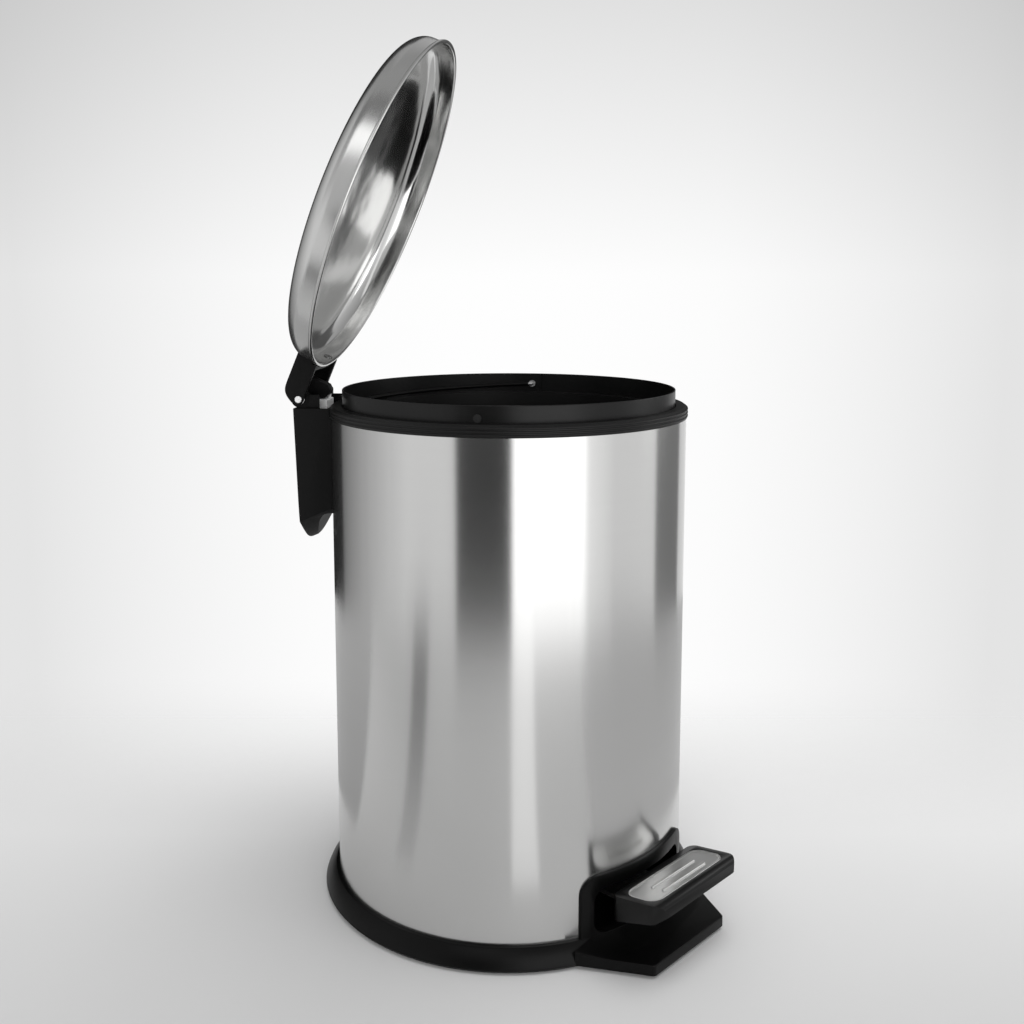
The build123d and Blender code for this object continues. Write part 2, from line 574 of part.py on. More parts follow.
cam_foot = [cam_point(open_turn * step / CAM_STEPS) for step in range(CAM_STEPS + 1)]
with BuildPart() as lid_bracket:
    with BuildSketch(LID_SIDE):
        with BuildLine():
            top_edge = Line((40.0, CHEEK_HIGH), (9.0, CHEEK_HIGH))
            heel = Spline(top_edge @ 1, (0.8, 10.0), (-3.2, 4.6), (-3.9, 0.0),
                          tangents=((-1, 0), (0.2, -1)))
            toe = ThreePointArc(heel @ 1, (-2.4, CHEEK_LOW + 0.6), (0.5, CHEEK_LOW))
            Polyline(toe @ 1, (40.0, CHEEK_LOW), top_edge @ 0)
        make_face()
    extrude(amount=CHEEK_OUTER, both=True)
    with BuildSketch(LID_SIDE):
        with BuildLine():
            Polyline((-10.0, -10.0), (-10.0, CHEEK_HIGH - COVER_WALL),
                     (SEAT_FRONT, CHEEK_HIGH - COVER_WALL), (SEAT_FRONT, SEAT_LOW), (45.0, SEAT_LOW),
                     (45.0, -10.0), close=True)
        make_face()
    extrude(amount=cheek_inner, both=True, mode=Mode.SUBTRACT)
    with BuildSketch(LID_SIDE):
        with BuildLine():
            foot = Spline(*cam_foot)
            Polyline(foot @ 1, (0.4, -5.2), (-4.0, 0), (-2.0, 6.0), (2.0, CHEEK_HIGH - 1.5),
                     (14.0, CHEEK_HIGH - 1.5), (13.0, -10.5), foot @ 0)
        make_face()
    extrude(amount=FINGER_HALF, both=True)
    with BuildSketch(PIN_LINE.offset(-CHEEK_OUTER - 1)):
        Circle(PIN_DIAMETER / 2 + RUN)
    extrude(amount=2 * CHEEK_OUTER + 2, mode=Mode.SUBTRACT)
    add(lid_seat.part, mode=Mode.SUBTRACT)
    for side in (1, -1):
        with BuildSketch(lid_radial_plane(side * LID_SCREW_ANGLE, LID_R - 10, LID_SCREW_RISE)):
            Circle(LID_SCREW_HOLE_R)
        extrude(amount=24, mode=Mode.SUBTRACT)
save(lid_bracket, "lid_bracket")

with BuildPart() as lid_screws:
    for side in (1, -1):
        screw_seat = lid_radial_plane(side * LID_SCREW_ANGLE, LID_R - LID_WALL - 0.1, LID_SCREW_RISE)
        screw(screw_seat, 3.0, 0.6, 1.6, 8.0)
save(lid_screws, "lid_screws")

# The push rod is a bent steel wire: it stands behind the shell and joggles in through the slot
CAP_BLOCK_BOTTOM = 345.0
ROD_TOP = CAP_TOP - 2.5
ROD_BEND_HIGH = 333.0
ROD_BEND_LOW = 309.0
LEVER_TOP = LEVER_BOTTOM + LEVER_THICK
FOOT_BOTTOM = LEVER_TOP + CONTACT_GAP
FOOT_HEIGHT = 14.0
with BuildPart() as push_rod:
    with BuildLine(HINGE_SIDE) as rod_line:
        FilletPolyline((ROD_R, ROD_TOP), (ROD_R, ROD_BEND_HIGH), (ROD_INNER_R, ROD_BEND_LOW),
                       (ROD_INNER_R, FOOT_BOTTOM + 4), radius=10)
    with BuildSketch(Plane(origin=OUT * ROD_R + UP * ROD_TOP, z_dir=UP * -1)):
        Circle(ROD_DIAMETER / 2)
    sweep(path=rod_line.line)
save(push_rod, "push_rod")

# The rod's cap is a white nylon block with a small knob, and its foot is a nylon shoe
CAP_INNER_R = 129.4
CAP_OUTER_R = 138.2
CAP_HALF = 9.5
KNOB_SIDE = 7.5
with BuildPart() as rod_cap:
    with BuildSketch(HINGE_SIDE):
        with Locations(((CAP_INNER_R + CAP_OUTER_R) / 2, (CAP_BLOCK_BOTTOM + CAP_TOP) / 2)):
            RectangleRounded(CAP_OUTER_R - CAP_INNER_R, CAP_TOP - CAP_BLOCK_BOTTOM, 0.8)
    extrude(amount=CAP_HALF, both=True)
    with BuildSketch(Plane.XY.offset(CAP_TOP - 0.5)):
        with Locations(OUT * 132.0 + SIDE * KNOB_SIDE):
            Circle(1.5)
    extrude(amount=3.2)
    with BuildSketch(Plane.XY.offset(CAP_BLOCK_BOTTOM - 1)):
        with Locations(OUT * ROD_R):
            Circle(ROD_DIAMETER / 2 + 0.02)
    extrude(amount=ROD_TOP - CAP_BLOCK_BOTTOM + 1.05, mode=Mode.SUBTRACT)
save(rod_cap, "rod_cap")

with BuildPart() as rod_foot:
    with BuildSketch(HINGE_SIDE):
        with BuildLine():
            sole = ThreePointArc((ROD_INNER_R, FOOT_BOTTOM), (ROD_INNER_R + 2.7, FOOT_BOTTOM + 0.7),
                                 (ROD_INNER_R + 4.6, FOOT_BOTTOM + 3.0))
            Polyline(sole @ 1, (ROD_INNER_R + 4.4, FOOT_BOTTOM + FOOT_HEIGHT),
                     (ROD_INNER_R + ROD_DIAMETER / 2 + 0.02, FOOT_BOTTOM + FOOT_HEIGHT),
                     (ROD_INNER_R + ROD_DIAMETER / 2 + 0.02, FOOT_BOTTOM + 3.95),
                     (ROD_INNER_R, FOOT_BOTTOM + 3.95), sole @ 0)
        make_face()
    revolve(axis=Axis(rod_foot_place, UP))
save(rod_foot, "rod_foot")

# Two guides on the shell's inner wall keep the rod upright
GUIDE_HEIGHTS = (110.0, 230.0)
GUIDE_TALL = 12.0
with BuildPart() as rod_guides:
    for height in GUIDE_HEIGHTS:
        with BuildSketch(Plane(origin=OUT * ROD_INNER_R + UP * height, x_dir=OUT, z_dir=UP)):
            with Locations((3.0, 0)):
                RectangleRounded(14.0, 20.0, 3.0)
            Circle(ROD_DIAMETER / 2 + 0.08, mode=Mode.SUBTRACT)
        extrude(amount=GUIDE_TALL)
    with BuildSketch(Plane.XY):
        Circle(SHELL_R + 10)
        Circle(SHELL_R - SHELL_WALL - 0.1, mode=Mode.SUBTRACT)
    extrude(amount=SHELL_TOP, mode=Mode.SUBTRACT)
save(rod_guides, "rod_guides")

# The pedal lever is a steel plate, bent round in plan to reach the rod, that rocks on the axle
LEVER_FRONT_HALF = 20.0
LEVER_REAR_R = 12.0
LEVER_END_R = 120.5
BEND_Y = -126.0
TREAD_RUN = 34.0
TREAD_CLIMB = 13.6
BARREL_HALF = 28.0
BARREL_R = 6.5
lever_slope = Vector(0, -TREAD_RUN, TREAD_CLIMB).normalized()
lever_normal = Vector(0, lever_slope.Z, -lever_slope.Y)
LEVER_UNDER = Plane(
    origin=(0, BEND_Y - TREAD_RUN / 2 - 3, LEVER_BOTTOM + TREAD_CLIMB / 2 + 1.2),
    x_dir=(1, 0, 0),
    z_dir=lever_normal,
)
TREAD_SCREW_SIDE = 11.0
with BuildPart() as pedal_lever:
    with BuildSketch(Plane.XY.offset(LEVER_BOTTOM)):
        with Locations((0, AXLE_Y)):
            Circle(LEVER_FRONT_HALF)
        with Locations(rod_foot_place):
            Circle(LEVER_REAR_R)
        make_hull()
        Circle(LEVER_END_R, mode=Mode.INTERSECT)
        with Locations((0, (BEND_Y + AXLE_Y) / 2)):
            Rectangle(2 * LEVER_FRONT_HALF, AXLE_Y - BEND_Y)
    extrude(amount=LEVER_THICK)
    with BuildSketch(Plane.YZ):
        with BuildLine():
            Polyline((BEND_Y, LEVER_BOTTOM), (BEND_Y, LEVER_TOP),
                     (BEND_Y - TREAD_RUN, LEVER_TOP + TREAD_CLIMB),
                     (BEND_Y - TREAD_RUN, LEVER_BOTTOM + TREAD_CLIMB), close=True)
        make_face()
    extrude(amount=LEVER_FRONT_HALF, both=True)
    with BuildSketch(Plane.YZ):
        with Locations((AXLE_Y, AXLE_Z)):
            Circle(BARREL_R)
        with Locations((AXLE_Y, (AXLE_Z + LEVER_BOTTOM) / 2)):
            Rectangle(2 * BARREL_R, LEVER_BOTTOM - AXLE_Z)
    extrude(amount=BARREL_HALF, both=True)
    with BuildSketch(Plane.YZ):
        with Locations((AXLE_Y, AXLE_Z)):
            Circle(AXLE_DIAMETER / 2 + RUN)
    extrude(amount=BARREL_HALF + 1, both=True, mode=Mode.SUBTRACT)
    with BuildSketch(LEVER_UNDER):
        with GridLocations(2 * TREAD_SCREW_SIDE, 1, 2, 1):
            Circle(SCREW_HOLE_R)
    extrude(amount=6, both=True, mode=Mode.SUBTRACT)
save(pedal_lever, "pedal_lever")

# The axle is a steel pin through the base's posts, with a clip at each end
AXLE_HALF = 42.0
with BuildPart() as pedal_axle:
    with BuildSketch(Plane.YZ.offset(-AXLE_HALF)):
        with Locations((AXLE_Y, AXLE_Z)):
            Circle(AXLE_DIAMETER / 2)
    extrude(amount=2 * AXLE_HALF)
    chamfer(pedal_axle.edges().filter_by(GeomType.CIRCLE), 0.6)
save(pedal_axle, "pedal_axle")

with BuildPart() as axle_clips:
    for side in (1, -1):
        with BuildSketch(Plane.YZ.offset(side * (POST_X + POST_WIDTH / 2 + 0.2))):
            with Locations((AXLE_Y, AXLE_Z)):
                Circle(5.5)
                Circle(AXLE_DIAMETER / 2 + 0.02, mode=Mode.SUBTRACT)
        extrude(amount=side * 1.2)
save(axle_clips, "axle_clips")

# The tread is a black moulding, deep at the back and thin at the front, with rounded edges and a shallow
# tray on top
TREAD_BACK = -131.5
TREAD_FRONT = -168.4
TREAD_NOSE = -171.0
TREAD_BACK_TOP = 47.4
TREAD_FRONT_TOP = 52.9
TREAD_TOP_R = 4.5
tread_slope = Vector(0, TREAD_FRONT - TREAD_BACK, TREAD_FRONT_TOP - TREAD_BACK_TOP).normalized()
tread_normal = Vector(0, tread_slope.Z, -tread_slope.Y)
PLATE_LENGTH = 80.0
PLATE_DEPTH = 26.0
PLATE_CORNER = 8.5
PLATE_SHEET = 1.0
PLATE_MIDDLE = 18.4
TREAD_TOP = Plane(
    origin=Vector(0, TREAD_BACK, TREAD_BACK_TOP) + tread_slope * PLATE_MIDDLE,
    x_dir=(1, 0, 0),
    z_dir=tread_normal,
)
with BuildPart() as pedal_tread:
    with BuildSketch(Plane.YZ):
        with BuildLine():
            Polyline((TREAD_BACK, TREAD_BACK_TOP), (TREAD_FRONT, TREAD_FRONT_TOP), (TREAD_NOSE, 44.6),
                     (-165.0, 40.2), (TREAD_BACK, 30.0), close=True)
        make_face()
    extrude(amount=TREAD_WIDTH / 2, both=True)
    with BuildSketch() as tread_plan:
        with Locations((0, (TREAD_BACK + TREAD_NOSE) / 2)):
            Rectangle(TREAD_WIDTH, TREAD_BACK - TREAD_NOSE)
        fillet(tread_plan.vertices().group_by(Axis.Y)[0], 11)
        fillet(tread_plan.vertices().group_by(Axis.Y)[-1], 5.5)
    extrude(amount=80, mode=Mode.INTERSECT)
    fillet(pedal_tread.faces().sort_by(SortBy.AREA)[-1].edges().sort_by(Axis.Y)[0], TREAD_TOP_R)
    with BuildSketch(Plane.YZ):
        with BuildLine():
            Polyline((BEND_Y, LEVER_BOTTOM - 9.0), (BEND_Y, LEVER_TOP + 0.1),
                     (BEND_Y - TREAD_RUN - 0.2, LEVER_TOP + TREAD_CLIMB + 0.2),
                     (BEND_Y - TREAD_RUN - 0.2, LEVER_BOTTOM - 9.0), close=True)
        make_face()
    extrude(amount=LEVER_FRONT_HALF + 0.2, both=True, mode=Mode.SUBTRACT)
    with BuildSketch(TREAD_TOP.offset(-PLATE_SHEET)):
        RectangleRounded(PLATE_LENGTH + 0.2, PLATE_DEPTH + 0.2, PLATE_CORNER)
    extrude(amount=5, mode=Mode.SUBTRACT)
    with BuildSketch(LEVER_UNDER):
        with GridLocations(2 * TREAD_SCREW_SIDE, 1, 2, 1):
            Circle(SCREW_HOLE_R)
    extrude(amount=8.5, mode=Mode.SUBTRACT)
save(pedal_tread, "pedal_tread")

# Two screws hold the tread on the lever from below
with BuildPart() as tread_screws:
    for side in (1, -1):
        seat = Plane(
            origin=LEVER_UNDER.origin + Vector(side * TREAD_SCREW_SIDE, 0, 0) - lever_normal * 0.1,
            x_dir=(1, 0, 0),
            z_dir=lever_normal,
        )
        screw(seat, 3.6, 1.8, 2.0, 8.0)
save(tread_screws, "tread_screws")

# A polished steel plate lies in the tread's tray, with two raised ribs across it
RIB_LENGTH = 48.0
RIB_WIDTH = 2.6
RIB_GAP = 8.6
RIB_FORWARD = 2.4
with BuildPart() as tread_plate:
    with BuildSketch(TREAD_TOP.offset(0.05 - PLATE_SHEET)):
        RectangleRounded(PLATE_LENGTH, PLATE_DEPTH, PLATE_CORNER)
    extrude(amount=PLATE_SHEET + 0.2)
    with BuildSketch(TREAD_TOP.offset(0.1)):
        with Locations((0, -RIB_FORWARD)):
            with GridLocations(1, RIB_GAP, 1, 2):
                SlotOverall(RIB_LENGTH, RIB_WIDTH)
    extrude(amount=1.1)
save(tread_plate, "tread_plate")
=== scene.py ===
"""Pedal trash can, dressed for its picture: steel body and lid, black mouldings, and a plain pale studio."""
import json
import math

import bpy
from mathutils import Matrix, Vector

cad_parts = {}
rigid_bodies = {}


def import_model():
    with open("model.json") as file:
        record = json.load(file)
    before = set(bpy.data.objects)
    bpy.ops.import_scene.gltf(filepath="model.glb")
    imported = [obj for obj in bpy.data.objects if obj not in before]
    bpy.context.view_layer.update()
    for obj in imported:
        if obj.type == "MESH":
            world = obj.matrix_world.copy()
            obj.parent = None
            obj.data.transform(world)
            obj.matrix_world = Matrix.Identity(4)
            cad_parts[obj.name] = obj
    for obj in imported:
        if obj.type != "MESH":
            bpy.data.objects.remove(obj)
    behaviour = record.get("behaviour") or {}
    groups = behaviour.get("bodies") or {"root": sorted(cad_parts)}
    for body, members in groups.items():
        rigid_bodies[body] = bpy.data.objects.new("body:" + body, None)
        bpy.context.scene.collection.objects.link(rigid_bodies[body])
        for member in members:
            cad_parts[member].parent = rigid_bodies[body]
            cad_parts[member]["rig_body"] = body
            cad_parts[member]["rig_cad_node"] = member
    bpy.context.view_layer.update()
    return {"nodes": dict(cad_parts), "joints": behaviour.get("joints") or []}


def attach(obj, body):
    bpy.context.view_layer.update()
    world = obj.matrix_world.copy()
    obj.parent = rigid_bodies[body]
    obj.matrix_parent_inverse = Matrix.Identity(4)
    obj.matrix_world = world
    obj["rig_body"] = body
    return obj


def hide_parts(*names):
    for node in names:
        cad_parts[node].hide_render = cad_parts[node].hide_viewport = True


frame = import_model()
nodes = frame["nodes"]


# The base tray is one black moulding: the flared foot ring, the hood round the pedal opening and
# the tongue on the floor. It is pressed on to the shell's lower edge.
class Wire:
    """One output of a material's nodes; arithmetic on it adds Math nodes."""

    def __init__(self, tree, socket=None):
        self.tree = tree
        self.socket = socket

    def node(self, kind, settings=None, inputs=None, out=0):
        """Add a node, set it up, feed its sockets, and give back one of its outputs."""
        made = self.tree.nodes.new("ShaderNode" + kind)
        for name, value in (settings or {}).items():
            if name == "stops":
                ramp = made.color_ramp
                while len(ramp.elements) < len(value):
                    ramp.elements.new(0.5)
                for element, (place, shade) in zip(ramp.elements, value):
                    element.position = place
                    element.color = (shade, shade, shade, 1)
            else:
                setattr(made, name, value)
        for name, value in (inputs or {}).items():
            if isinstance(value, Wire):
                self.tree.links.new(value.socket, made.inputs[name])
            else:
                made.inputs[name].default_value = value
        return Wire(self.tree, made.outputs[out])

    def math(self, operation, first, second=0.0):
        """Add a Math node."""
        return self.node("Math", {"operation": operation}, {0: first, 1: second})

    def __add__(self, other):
        return self.math("ADD", self, other)

    def __radd__(self, other):
        return self.math("ADD", other, self)

    def __sub__(self, other):
        return self.math("SUBTRACT", self, other)

    def __rsub__(self, other):
        return self.math("SUBTRACT", other, self)

    def __mul__(self, other):
        return self.math("MULTIPLY", self, other)


def new_finish(name, **constants):
    """A material with one Principled shader; its plain values are set here, and its nodes are added after."""
    material = bpy.data.materials.new(name)
    material.use_nodes = True
    tree = material.node_tree
    shader = tree.nodes["Principled BSDF"]
    for socket, value in constants.items():
        shader.inputs[socket.replace("_", " ")].default_value = value
    return material, shader, Wire(tree)


def feed(shader, **links):
    """Connect wires to the shader's sockets."""
    for socket, wire in links.items():
        wire.tree.links.new(wire.socket, shader.inputs[socket.replace("_", " ")])


def dress(material, *names):
    """Give CAD nodes this material in every slot."""
    for name in names:
        mesh = nodes[name].data
        mesh.materials.clear()
        mesh.materials.append(material)
        for face in mesh.polygons:
            face.material_index = 0


def black_moulding(name, shade, roughness, gloss, grain):
    """Satin black plastic: a fine moulded grain, with slow drifts of gloss as handling leaves them."""
    material, shader, wire = new_finish(name, Specular_IOR_Level=gloss)
    place = wire.node("TexCoord", out=3)
    drift = wire.node("TexNoise", None, {"Vector": place, "Scale": 14.0, "Detail": 4.0})
    speck = wire.node("TexNoise", None, {"Vector": place, "Scale": grain, "Detail": 2.0})
    dust = wire.node("TexNoise", None, {"Vector": place, "Scale": 260.0, "Detail": 6.0, "Roughness": 0.7})
    haze = wire.node("ValToRGB", {"stops": [(0.52, 0.0), (0.78, 1.0)]}, {"Fac": dust})
    dark = (shade * 0.8, shade * 0.8, shade * 0.8, 1)
    pale = (shade * 1.6, shade * 1.6, shade * 1.6, 1)
    colour = wire.node("Mix", {"data_type": "RGBA"}, {0: haze * drift, 6: dark, 7: pale}, out=2)
    bump = wire.node("Bump", None, {"Strength": 0.15, "Distance": 0.0002, "Height": speck})
    feed(shader, Base_Color=colour, Roughness=roughness - 0.07 + drift * 0.12 + speck * 0.03, Normal=bump)
    return material


def rounded_copy(node, name, material, radius):
    """A copy of a CAD node with its sharp edges rounded, as a mould leaves them; it stands for the node."""
    bpy.ops.object.select_all(action="DESELECT")
    nodes[node].select_set(True)
    bpy.context.view_layer.objects.active = nodes[node]
    bpy.ops.object.duplicate()
    piece = bpy.context.active_object
    piece.name = name
    del piece["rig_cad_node"]
    bpy.ops.mesh.customdata_custom_splitnormals_clear()
    bpy.ops.object.mode_set(mode="EDIT")
    bpy.ops.mesh.select_all(action="SELECT")
    bpy.ops.mesh.remove_doubles(threshold=0.00001)
    bpy.ops.mesh.dissolve_limited(angle_limit=math.radians(0.5))
    bpy.ops.object.mode_set(mode="OBJECT")
    edge = piece.modifiers.new("edge", "BEVEL")
    edge.width = radius
    edge.segments = 3
    edge.limit_method = "ANGLE"
    edge.angle_limit = math.radians(40)
    bpy.ops.object.modifier_apply(modifier=edge.name)
    bpy.ops.object.shade_smooth_by_angle(angle=math.radians(35))
    piece.data.materials.clear()
    piece.data.materials.append(material)
    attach(piece, piece["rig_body"])
    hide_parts(node)


base_black = black_moulding("base_black", 0.003, 0.34, 0.14, 1500.0)
rounded_copy("base_tray", "base_moulding", base_black, 0.0006)

# The foot ring is one flat ring of black rubber under the base tray, so that the bin stays put.
# It is moulded, and pressed into a groove of the base.
rubber, rubber_shader, wire = new_finish("foot_rubber", Roughness=0.85, Specular_IOR_Level=0.25)
bloom = wire.node("TexNoise", None, {"Vector": wire.node("TexCoord", out=3), "Scale": 90.0, "Detail": 5.0})
tint = wire.node("ValToRGB", {"stops": [(0.3, 0.016), (0.75, 0.035)]}, {"Fac": bloom})
feed(rubber_shader, Base_Color=tint)
dress(rubber, "foot_ring")


# The shell is a rolled tube of stainless steel, brushed round and round, so its grain lies level and
# every reflection is drawn out up and down.
def brushed_steel(name, shade, roughness, grain, drawn):
    """Stainless steel with fine level scratches; grain is how close they lie, and drawn smears the gloss."""
    material, shader, wire = new_finish(name, Metallic=1.0, Anisotropic=drawn, Anisotropic_Rotation=0.25)
    place = wire.node("TexCoord", out=3)
    fine = wire.node("Mapping", None, {"Vector": place, "Scale": (9.0, 9.0, grain)})
    coarse = wire.node("Mapping", None, {"Vector": place, "Scale": (3.0, 3.0, grain * 0.16)})
    hair = wire.node("TexNoise", None, {"Vector": fine, "Scale": 1.0, "Detail": 5.0, "Roughness": 0.65})
    band = wire.node("TexNoise", None, {"Vector": coarse, "Scale": 1.0, "Detail": 3.0})
    smear = wire.node("TexNoise", None, {"Vector": place, "Scale": 7.0, "Detail": 4.0})
    pale = (shade, shade * 0.998, shade * 0.99, 1)
    dull = (shade * 0.94, shade * 0.938, shade * 0.93, 1)
    colour = wire.node("Mix", {"data_type": "RGBA"}, {0: hair * 0.55 + band * 0.35, 6: pale, 7: dull}, out=2)
    feed(shader, Base_Color=colour, Roughness=roughness - 0.05 + hair * 0.06 + smear * 0.04)
    return material


shell_steel = brushed_steel("shell_steel", 0.65, 0.185, 2600.0, 0.67)
dress(shell_steel, "outer_shell")

# The top ring is a black moulding with three fine ridges, snapped into the shell's upper edge.
# The bucket hangs in it by its shoulder: black polypropylene, glossier than the ring.
ring_black = black_moulding("ring_black", 0.006, 0.38, 0.25, 1300.0)
bucket_black = black_moulding("bucket_black", 0.006, 0.30, 0.25, 700.0)
dress(ring_black, "top_ring")
dress(bucket_black, "inner_bucket")

# The bail is one bent steel wire, dark drawn, sprung into two holes of the bucket's collar. Each end has
# a pale button inside the collar and a dull head outside it.
BUTTON_R = 0.0027
BUTTON_TO = 0.1160
HEAD_DULL = 0.95
bail_swing = next(joint for joint in frame["joints"] if joint["name"] == "bail_swing")
bail_axis = bail_swing["axis"]
bail_wire, bail_shader, wire = new_finish("bail_wire", Metallic=0.9)
place = wire.node("TexCoord", out=3)
along = wire.node("VectorMath", {"operation": "DOT_PRODUCT"}, {0: place, 1: bail_axis}, out=1)
outside = wire.math("GREATER_THAN", wire.math("ABSOLUTE", along), BUTTON_TO)
offset = wire.node("VectorMath", {"operation": "SUBTRACT"}, {0: place, 1: bail_swing["pos_m"]})
arm = wire.node("VectorMath", {"operation": "CROSS_PRODUCT"}, {0: offset, 1: bail_axis})
aside = wire.node("VectorMath", {"operation": "LENGTH"}, {0: arm}, out=1)
button = wire.math("LESS_THAN", aside, BUTTON_R) * (1.0 - outside * HEAD_DULL)
scale_marks = wire.node("TexNoise", None, {"Vector": place, "Scale": 420.0, "Detail": 5.0})
metal = wire.node("Mix", {"data_type": "RGBA"}, {
    0: button, 6: (0.012, 0.012, 0.012, 1), 7: (0.55, 0.55, 0.55, 1)}, out=2)
feed(bail_shader, Base_Color=metal, Roughness=0.42 - button * 0.1 + scale_marks * 0.12)
dress(bail_wire, "bucket_bail")

# The hinge stands behind the shell: a moulded black housing over the rod, and black pressed ears that
# carry the pin. Bright screws hold the housing and the ears to the shell.
hinge_black = black_moulding("hinge_black", 0.004, 0.44, 0.15, 1200.0)
rounded_copy("hinge_housing", "housing_moulding", hinge_black, 0.0007)
dress(hinge_black, "hinge_ears")


def bright_steel(name, shade, roughness, scale):
    """Plain bright steel with faint rubbed patches."""
    material, shader, wire = new_finish(name, Metallic=1.0)
    place = wire.node("TexCoord", out=3)
    rub = wire.node("TexNoise", None, {"Vector": place, "Scale": scale, "Detail": 5.0, "Roughness": 0.6})
    colour = wire.node("Mix", {"data_type": "RGBA"}, {
        0: rub, 6: (shade, shade, shade * 0.99, 1), 7: (shade * 0.85, shade * 0.85, shade * 0.84, 1)}, out=2)
    feed(shader, Base_Color=colour, Roughness=roughness - 0.05 + rub * 0.12)
    return material


pin_steel = bright_steel("pin_steel", 0.92, 0.35, 600.0)
dress(pin_steel, "ear_screws", "housing_screws")

# Each ear is stiffened by a black web in its own plane, folded from the same strip: one stands in front
# of the rod's cap, and the other fills the space under the bar that reaches over the ring.
LEVEL = 0.9
WEB_WALL = 0.0026
WEB_CORNER = 0.0012
WEB_EDGE = 0.0004
EAR_MIDDLE = 0.0245
NEAR_WEB = (0.1310, 0.1410, 0.3405, 0.3568)
FAR_WEB = (0.1266, 0.1360, 0.3405, 0.3522)
lid_hinge = next(joint for joint in frame["joints"] if joint["name"] == "lid_hinge")
pin = Vector(lid_hinge["pos_m"])
pin_axis = Vector(lid_hinge["axis"])
outwards = Vector((pin.x, pin.y, 0)).normalized()
sideways = Vector((outwards.y, -outwards.x, 0))


def pick_faces(piece, test):
    """Select the faces that pass the test, and leave edit mode on."""
    bpy.ops.object.mode_set(mode="EDIT")
    bpy.ops.mesh.select_mode(type="FACE")
    bpy.ops.mesh.select_all(action="DESELECT")
    bpy.ops.object.mode_set(mode="OBJECT")
    for face in piece.data.polygons:
        face.select = test(face)
    bpy.ops.object.mode_set(mode="EDIT")


def slab(name, size, middle, corner):
    """A block with rounded upright corners."""
    bpy.ops.object.select_all(action="DESELECT")
    bpy.ops.mesh.primitive_cube_add(size=1, location=middle)
    piece = bpy.context.active_object
    piece.name = name
    piece.scale = size
    bpy.ops.object.transform_apply(location=True, scale=True)
    bpy.ops.object.mode_set(mode="EDIT")
    bpy.ops.mesh.select_mode(type="EDGE")
    bpy.ops.mesh.select_all(action="DESELECT")
    bpy.ops.object.mode_set(mode="OBJECT")
    points = piece.data.vertices
    for edge in piece.data.edges:
        first, last = (points[index].co for index in edge.vertices)
        edge.select = abs(first.z - last.z) > size[2] / 2
    bpy.ops.object.mode_set(mode="EDIT")
    bpy.ops.mesh.bevel(offset=corner, segments=12, affect="EDGES")
    bpy.ops.object.mode_set(mode="OBJECT")
    return piece


def put(piece, place, body, slot, material, *stands_for):
    """Bake the piece's place into its mesh, hang it on its body, and let it stand for CAD nodes."""
    piece.matrix_world = place
    bpy.ops.object.select_all(action="DESELECT")
    piece.select_set(True)
    bpy.context.view_layer.objects.active = piece
    bpy.ops.object.transform_apply(location=True, rotation=True, scale=True)
    bpy.ops.object.shade_smooth_by_angle(angle=math.radians(30))
    piece.data.materials.append(material)
    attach(piece, body)
    if stands_for:
        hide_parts(*stands_for)


web_frame = Matrix((outwards, Vector((0, 0, 1)), sideways)).transposed().to_4x4()
for name, side, (inner, outer, low, high) in (("near_web", -1, NEAR_WEB), ("far_web", 1, FAR_WEB)):
    middle = ((outer + inner) / 2, (high + low) / 2, 0)
    web = slab(name, (outer - inner, high - low, WEB_WALL), middle, WEB_CORNER)
    pick_faces(web, lambda face: abs(face.normal.z) > LEVEL)
    bpy.ops.mesh.bevel(offset=WEB_EDGE, segments=2, affect="EDGES")
    bpy.ops.object.mode_set(mode="OBJECT")
    put(web, Matrix.Translation(sideways * side * EAR_MIDDLE) @ web_frame, "body", "black_metal", hinge_black)

# The hinge pin is a turned steel rod through the bracket's cheeks and the ears. Its shank is blackened,
# and its rounded ends show bright on the cheeks.
PIN_END = 0.0295
pin_finish, pin_shader, wire = new_finish("pin_finish", Metallic=0.35)
place = wire.node("TexCoord", out=3)
along = wire.node("VectorMath", {"operation": "DOT_PRODUCT"}, {0: place, 1: pin_axis}, out=1)
end = wire.math("GREATER_THAN", wire.math("ABSOLUTE", along - pin.dot(pin_axis)), PIN_END)
turning = wire.node("TexNoise", None, {"Vector": place, "Scale": 900.0, "Detail": 4.0})
feed(pin_shader, Roughness=0.42 + turning * 0.15, Base_Color=wire.node("Mix", {"data_type": "RGBA"}, {
    0: end, 6: (0.02, 0.02, 0.02, 1), 7: (0.95, 0.95, 0.95, 1)}, out=2))
dress(pin_finish, "hinge_pin")

# The lid is drawn from one steel sheet: a low dome with a rounded shoulder, its edge rolled outwards.
# It is satin outside and polished inside, and two screws through its skirt hold it to a black bracket.
LID_R = 0.1192
LID_SHEET = 0.0009
LID_RISE = 0.0095
LID_CORNER = 0.012
LID_RIM = 0.3506
LID_TOP = 0.38006
HEM_R = 0.0012
HEM_MIDDLE = (0.11987, 0.3516)
lid_turn = Matrix.Rotation(math.radians(-lid_hinge["range_deg"][0]), 4, pin_axis)
lid_place = Matrix.Translation(pin) @ lid_turn @ Matrix.Translation(-pin)


def spread(start, stop, count):
    """Even steps from start to stop, both included."""
    return [start + (stop - start) * step / (count - 1) for step in range(count)]


